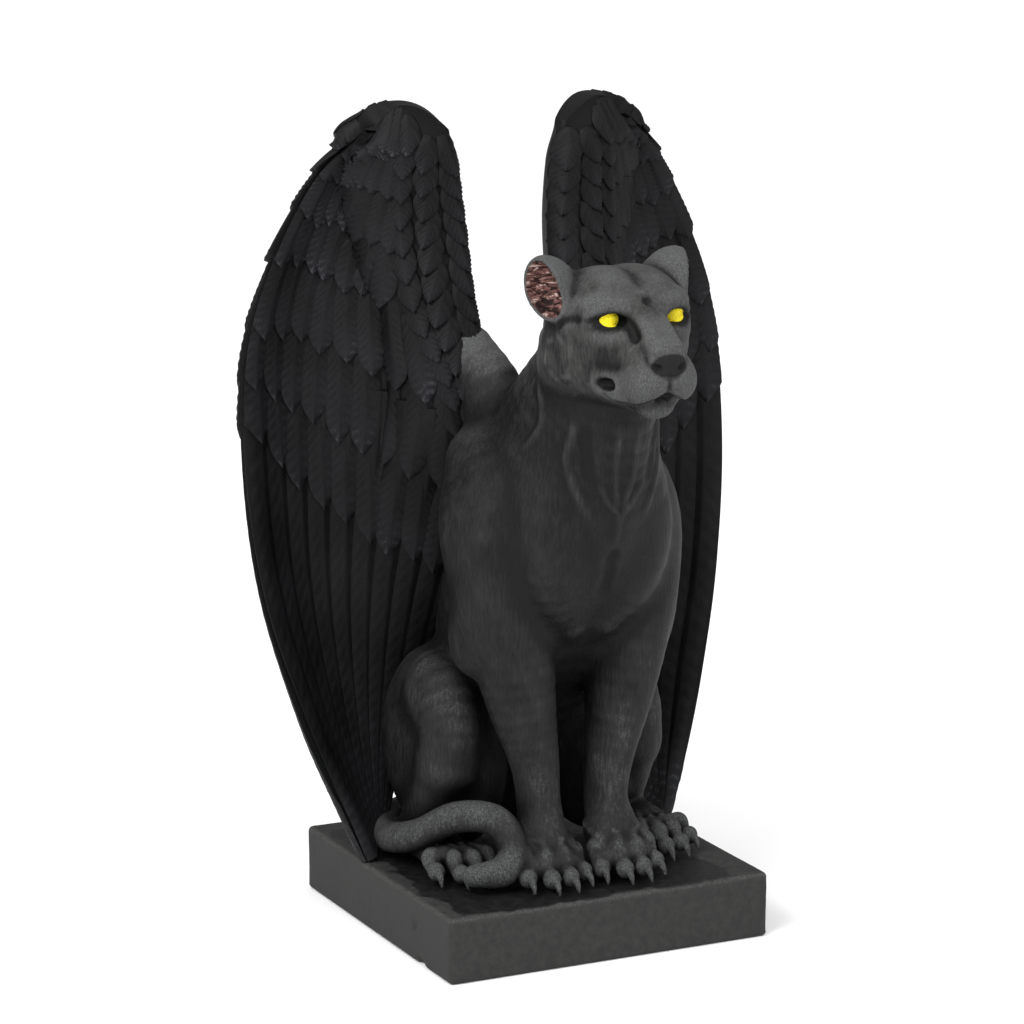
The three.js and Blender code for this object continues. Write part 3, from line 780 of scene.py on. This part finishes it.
def across_and_along(surface, t, u):
    """How a surface runs with t and with u"""
    step = 0.012
    over = surface(np.minimum(t + step, 1), u) - surface(np.maximum(t - step, 0), u)
    rise = surface(t, np.minimum(u + step, 1)) - surface(t, np.maximum(u - step, 0))
    over = over / (np.minimum(t + step, 1) - np.maximum(t - step, 0))[..., None]
    rise = rise / (np.minimum(u + step, 1) - np.maximum(u - step, 0))[..., None]
    return over, rise


def square_to(surface, t, u):
    over, rise = across_and_along(surface, t, u)
    normal = np.cross(over, rise)
    return normal / np.linalg.norm(normal, axis=-1, keepdims=True)


def wing_skin(t, u, side):
    """The wing's face: the front where side is 1, with the roll along its inner rim, and the back at -1"""
    t, u = np.clip(t, 0, 1), np.clip(u, 0, 1)
    share = 0.2 + 0.3 * eased(u, 0.7, 1)
    roll = ROLL_DEPTH * np.sqrt(np.maximum(0, 1 - (t / share - 1) ** 2))
    roll = roll * eased(u, 0.45, 0.6) * (1 - 0.7 * eased(u, 0.94, 1))
    edge = np.sqrt(np.clip(np.minimum(t, 1 - t) / 0.05, 0, 1))
    half = (WING_THICKNESS / 2) * edge + roll
    return wing_sheet(t, u) + side * square_to(wing_sheet, t, u) * half[..., None]


class Heap:
    """Closed shells gathered for one mesh, with a value for the brush on each vertex"""

    def __init__(self):
        self.points, self.faces, self.brush = [], [], []
        self.count = 0

    def add(self, points, faces, brush):
        self.points.append(points.reshape(-1, 3))
        self.brush.append(np.broadcast_to(brush, points.shape[:-1]).reshape(-1))
        self.faces += [[index + self.count for index in face] for face in faces]
        self.count += self.points[-1].shape[0]


def grid_faces(rows, columns, start=0):
    """Four-sided faces over a grid of points"""
    return [
        [start + i * columns + j, start + i * columns + j + 1,
         start + (i + 1) * columns + j + 1, start + (i + 1) * columns + j]
        for i in range(rows - 1) for j in range(columns - 1)
    ]


def shell(heap, top, low, brush):
    """A closed shell with a finely shaped top, and an underside that only spans its edges"""
    rows, columns = top.shape[:2]
    under = np.stack([low[:, 0], low[:, -1]], axis=1)
    base = rows * columns
    faces = grid_faces(rows, columns)
    for i in range(rows - 1):
        left, right = base + 2 * i, base + 2 * i + 1
        faces.append([left, left + 2, right + 2, right])
        faces.append([i * columns, (i + 1) * columns, left + 2, left])
        faces.append([(i + 1) * columns - 1, right, right + 2, (i + 2) * columns - 1])
    faces.append([base, base + 1, *range(columns - 1, -1, -1)])
    last = (rows - 1) * columns
    faces.append([*range(last, last + columns), base + 2 * rows - 1, base + 2 * rows - 2])
    points = np.concatenate([top.reshape(-1, 3), under.reshape(-1, 3)])
    heap.add(points, faces, np.concatenate([brush.reshape(-1), np.zeros(2 * rows)]))


def feather(heap, side, root, tip, width, lift, rows, outline, barb=0.1, arch=0.5, tilt=0.0, sunk=0.8, shaft=0.25):
    """One feather laid on the wing from its root to its tip, each given as (t, u). The lift is the height of
    its tip in mm. Its rows run slantwise from the shaft, so every second one can stand up as a barb."""
    surface = lambda t, u: wing_skin(t, u, side)
    columns = np.array([-1, -0.82, -0.45, -0.12, 0, 0.12, 0.45, 0.82, 1])
    s = np.linspace(0, 1, rows)[:, None]
    c = columns[None, :]
    sweep = 0.9 * width / max(span_of(surface, root, tip), 1e-3)
    s = s + sweep * np.abs(c) * (1 - s) * np.minimum(1, 4 * s)
    s = np.minimum(s, 1)
    c = np.broadcast_to(c, s.shape)
    t = root[0] + (tip[0] - root[0]) * s
    u = root[1] + (tip[1] - root[1]) * s
    over, rise = across_and_along(surface, np.clip(t, 0, 1), np.clip(u, 0, 1))
    along = over * (tip[0] - root[0]) + rise * (tip[1] - root[1])
    normal = np.cross(over, rise)
    normal /= np.linalg.norm(normal, axis=-1, keepdims=True)
    aside = np.cross(along, normal)
    aside /= np.linalg.norm(aside, axis=-1, keepdims=True)
    oo, orr, rr = (over * over).sum(-1), (over * rise).sum(-1), (rise * rise).sum(-1)
    ao, ar = (aside * over).sum(-1), (aside * rise).sum(-1)
    det = oo * rr - orr * orr
    spread = c * outline(s) * width / 2
    t = t + spread * (ao * rr - ar * orr) / det
    u = u + spread * (ar * oo - ao * orr) / det
    outside = np.minimum(t, 0) * np.sqrt(oo)
    place = surface(t, u) + (over / np.sqrt(oo)[..., None]) * outside[..., None]
    normal = square_to(surface, np.clip(t, 0, 1), np.clip(u, 0, 1)) * side
    odd = (np.arange(rows) % 2)[:, None]
    vane = (np.abs(c) > 0.2) & (np.abs(c) < 0.95)
    height = lift * s ** 1.4 + arch * (1 - np.abs(c) ** 3) + tilt * c
    height = height + barb * np.where(vane, 2 * odd - 1, 0) + shaft * np.exp(-(c / 0.13) ** 2) * (1 - 0.6 * s)
    top = place + normal * height[..., None]
    low = place - normal * sunk
    if side < 0:
        top, low = top[:, ::-1], low[:, ::-1]
    raised = 0.25 + 0.45 * s ** 2 + np.where(vane, 0.3 * odd, 0.15) - 0.25 * (np.abs(c) > 0.95)
    shell(heap, top, low, raised[:, ::-1] if side < 0 else raised)


def span_of(surface, root, tip):
    ends = surface(np.array([root[0], tip[0]]), np.array([root[1], tip[1]]))
    return np.linalg.norm(ends[1] - ends[0])


def leaf_outline(s):
    """A leaf: narrow at the root, full in the middle and pointed at the tip"""
    return np.maximum(np.sin(np.pi * np.clip(s * 0.86 + 0.14, 0, 1)) ** 0.75, 0.02)


def covert_outline(s):
    """Parallel sides and a round tip"""
    return np.maximum((0.7 + 0.3 * eased(s, 0, 0.5)) * np.sqrt(np.maximum(1 - eased(s, 0.72, 1.0) ** 2, 0)), 0.03)


def primary_outline(s):
    return np.maximum(1 - 0.55 * eased(s, 0.45, 1.0), 0.03)


def add_sheet(heap):
    """The sheet that carries the feathers, front and back, closed round its edge"""
    t, u = np.meshgrid(np.linspace(0, 1, 49), np.linspace(0, 1, 121))
    front, back = wing_skin(t, u, 1), wing_skin(t, u, -1)
    rows, columns = t.shape
    points = np.concatenate([front.reshape(-1, 3), back.reshape(-1, 3)])
    half = rows * columns
    faces = grid_faces(rows, columns)
    faces += [[half + index for index in reversed(face)] for face in grid_faces(rows, columns)]
    ring = [j for j in range(columns)] + [i * columns + columns - 1 for i in range(1, rows)]
    ring += [(rows - 1) * columns + j for j in range(columns - 2, -1, -1)]
    ring += [i * columns for i in range(rows - 2, 0, -1)]
    for a, b in zip(ring, ring[1:] + ring[:1]):
        faces.append([b, a, half + a, half + b])
    heap.add(points, faces, 0.1)


def add_primaries(heap, side):
    """Long feathers side by side, each one's inner edge stepped over its neighbour"""
    for i in range(PRIMARY_COUNT):
        t = (i + 0.35) / PRIMARY_COUNT
        feather(
            heap, side, (t, 0.62), (t, 0.01 + 0.05 * (1 - t) ** 2), 8.6, 0.2, 60, primary_outline,
            barb=0.03, arch=0.7, tilt=-0.55, shaft=0.35,
        )


def add_coverts(heap, side):
    """Rows of coverts. Each row's tips lie over the roots of the row below it."""
    rows = [
        # Tip u at the inner and outer edge, bend, feather count, length and width in mm, first t
        (0.39, 0.555, -0.03, 9, 30, 8.0, 0.10),
        (0.50, 0.60, -0.01, 9, 30, 7.6, 0.12),
        (0.60, 0.66, 0.01, 8, 28, 7.4, 0.22),
        (0.70, 0.755, 0.02, 7, 26, 7.2, 0.32),
        (0.785, 0.82, 0.01, 7, 20, 6.6, 0.34),
        (0.855, 0.875, 0.01, 6, 16, 6.2, 0.40),
        (0.91, 0.925, 0.01, 5, 13, 6.0, 0.46),
    ]
    for n, (inner, outer, bend, count, length, width, first) in enumerate(rows):
        for i in range(count):
            t = first + (1.0 - first) * (i + 0.5 + 0.25 * (n % 2)) / count
            t = min(t, 0.975)
            u = inner + (outer - inner) * t + bend * 4 * t * (1 - t)
            wobble = 0.012 * noise.noise(Vector((i * 1.7, n * 2.3, 4.1)))
            lean = 0.03 * noise.noise(Vector((i * 0.9, n * 1.9, 9.4)))
            feather(
                heap, side, (t - lean, u + wobble + length / 195), (t + lean, u + wobble), width, 1.5,
                25, covert_outline, barb=0.11, arch=0.45, tilt=-0.25,
            )


def add_roll(heap):
    """Three columns of leaf feathers, leaning by turns like a braid, from the top down to the shoulder"""
    step = 0.031
    for column, share in enumerate((0.84, 0.5, 0.14)):
        count = 12
        for i in range(count):
            u = 0.955 - step * (i + 0.5 * (column % 2))
            bound = 0.22 + 0.28 * eased(u, 0.62, 0.95)
            t = bound * share
            lean = (0.055, -0.05, 0.045)[column]
            feather(
                heap, 1, (t + lean * 0.5, u + 0.030), (t - lean * 0.5, u - 0.022), 7.0, 1.5,
                13, leaf_outline, barb=0.16, arch=0.7, shaft=0.2,
            )


def wing_mesh(name, mirror):
    heap = Heap()
    add_sheet(heap)
    add_primaries(heap, 1)
    add_primaries(heap, -1)
    add_coverts(heap, 1)
    add_coverts(heap, -1)
    add_roll(heap)
    points = np.concatenate(heap.points)
    faces = heap.faces
    if mirror:
        points = points * np.array([-1, 1, 1])
        faces = [face[::-1] for face in faces]
    points[:, 2] = np.maximum(points[:, 2], GROUND)
    mesh = bpy.data.meshes.new(name)
    mesh.from_pydata((points * MM).tolist(), [], faces)
    mesh.update()
    mark(mesh, "brush", np.concatenate(heap.brush))
    mesh.shade_smooth()
    mesh.set_sharp_from_angle(angle=math.radians(50))
    return mesh


def wing_paint():
    """Black, with a cold grey brushed over the tips, shafts and barbs"""
    paint = Paint("wing_paint")
    brush = paint.attribute("brush")
    patches = paint.noise((0.10, 0.10, 0.06), 3)
    grain = paint.noise((2.4, 2.4, 1.4), 4, 0.7)
    raised = paint.maths("ADD", brush, paint.maths("MULTIPLY", paint.maths("SUBTRACT", patches, 0.5), 0.9))
    raised = paint.maths("ADD", raised, paint.maths("MULTIPLY", paint.maths("SUBTRACT", grain, 0.5), 0.8))
    colour = paint.blend(paint.ramp(raised, 0.2, 1.0), (0.0030, 0.0030, 0.0033), (0.011, 0.011, 0.0125))
    colour = paint.blend(paint.ramp(raised, 0.85, 1.35), colour, (0.060, 0.060, 0.070))
    paint.bump(grain, 0.10)
    paint.shader.inputs["Specular IOR Level"].default_value = 0.15
    return paint.finish(colour, paint.ramp(raised, 0.2, 1.0, 0.5, 0.62))


feather_paint = wing_paint()
for name, mirror in (("wing_left", False), ("wing_right", True)):
    wing = new_piece(name, wing_mesh(name, mirror))
    wing.data.materials.append(feather_paint)
    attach(wing, "root")
    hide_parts("winged_panther")


# Studio
#
# A plain white floor, one long lens, and soft light from above and both sides, as for a shop
# picture.
STUDIO_AIM = Vector((-6.1, 0, 106.2)) * MM
CAMERA_TURN = math.radians(-26)
CAMERA_RISE = math.radians(12.3)
CAMERA_AWAY = 1.0


def direction_from(turn, rise):
    """The unit vector that points at the viewer who stands turned by these angles from the front"""
    return Vector((
        math.sin(turn) * math.cos(rise),
        -math.cos(turn) * math.cos(rise),
        math.sin(rise),
    ))


def aimed(thing, place, aim):
    """The camera or lamp as a staged object at a place, pointed at the aim"""
    holder = bpy.data.objects.new(thing.name, thing)
    bpy.context.scene.collection.objects.link(holder)
    holder.location = place
    holder.rotation_euler = (aim - place).to_track_quat("-Z", "Y").to_euler()
    return holder


def soft_lamp(name, turn, rise, away, size, power, colour=(1, 1, 1)):
    lamp = bpy.data.lights.new(name, "AREA")
    lamp.shape = "DISK"
    lamp.size = size
    lamp.energy = power
    lamp.color = colour
    return aimed(lamp, STUDIO_AIM + away * direction_from(math.radians(turn), math.radians(rise)), STUDIO_AIM)


lens = bpy.data.cameras.new("long_lens")
lens.lens = 139.3
lens.sensor_width = 36
lens.clip_start = 0.05
lens.clip_end = 20
bpy.context.scene.camera = aimed(
    lens, STUDIO_AIM + CAMERA_AWAY * direction_from(CAMERA_TURN, CAMERA_RISE), STUDIO_AIM
)


def sweep_mesh():
    """A wide floor that stays level under the figure"""
    floor = bmesh.new()
    bmesh.ops.create_grid(floor, x_segments=1, y_segments=1, size=20)
    mesh = bpy.data.meshes.new("floor")
    floor.to_mesh(mesh)
    floor.free()
    return mesh


def floor_paint():
    paint = Paint("white_floor")
    mottle = paint.noise((0.01, 0.01, 0.01), 2)
    return paint.finish(
        paint.blend(paint.ramp(mottle, 0.3, 0.7), (0.90, 0.90, 0.90), (0.92, 0.92, 0.92)), 0.9
    )


floor = new_piece("floor", sweep_mesh())
floor.data.materials.append(floor_paint())

world = bpy.data.worlds.new("white_room")
world.use_nodes = True
world.node_tree.nodes["Background"].inputs["Color"].default_value = (1, 1, 1, 1)
world.node_tree.nodes["Background"].inputs["Strength"].default_value = 0.28
bpy.context.scene.world = world
bpy.context.scene.view_settings.view_transform = "Standard"
soft_lamp("left_window", -62, 38, 1.2, 0.6, 9)
soft_lamp("right_window", 40, 25, 1.3, 0.5, 3)
ceiling = bpy.data.lights.new("ceiling", "SUN")
ceiling.energy = 3.0
ceiling.angle = math.radians(100)
aimed(ceiling, STUDIO_AIM + direction_from(math.radians(-30), math.radians(72)), STUDIO_AIM)
